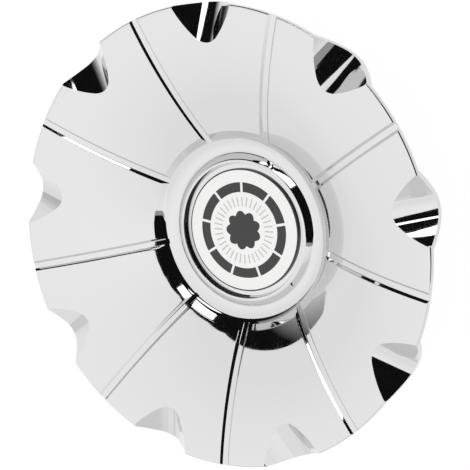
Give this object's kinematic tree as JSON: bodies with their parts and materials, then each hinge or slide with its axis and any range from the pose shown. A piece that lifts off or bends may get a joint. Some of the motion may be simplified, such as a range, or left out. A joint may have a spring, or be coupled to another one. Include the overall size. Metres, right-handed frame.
{
  "type": "wheel centre cap",
  "caption": "Dished chrome-plated wheel centre cap with radial channels, scooped rim flutes, a round emblem insert framed by a lip, and a slotted snap skirt with a wire ring.",
  "frame": {"origin": "on the wheel's axis, in the plane of the snap finger tips", "axes": "+Z along the wheel's axis, out of the face; +Y along one of the radial channels"},
  "size_m": [0.23, 0.23, 0.0548],
  "materials": {
    "chrome_plate": "bright chrome plate on moulded ABS, polished",
    "emblem_print": "white printed face with dark grey rings under clear gloss",
    "spring_steel": "drawn spring steel wire, bright zinc"
  },
  "bodies": {
    "root": {"cap": "chrome_plate", "emblem": "emblem_print", "retaining_ring": "spring_steel"}
  },
  "joints": []
}
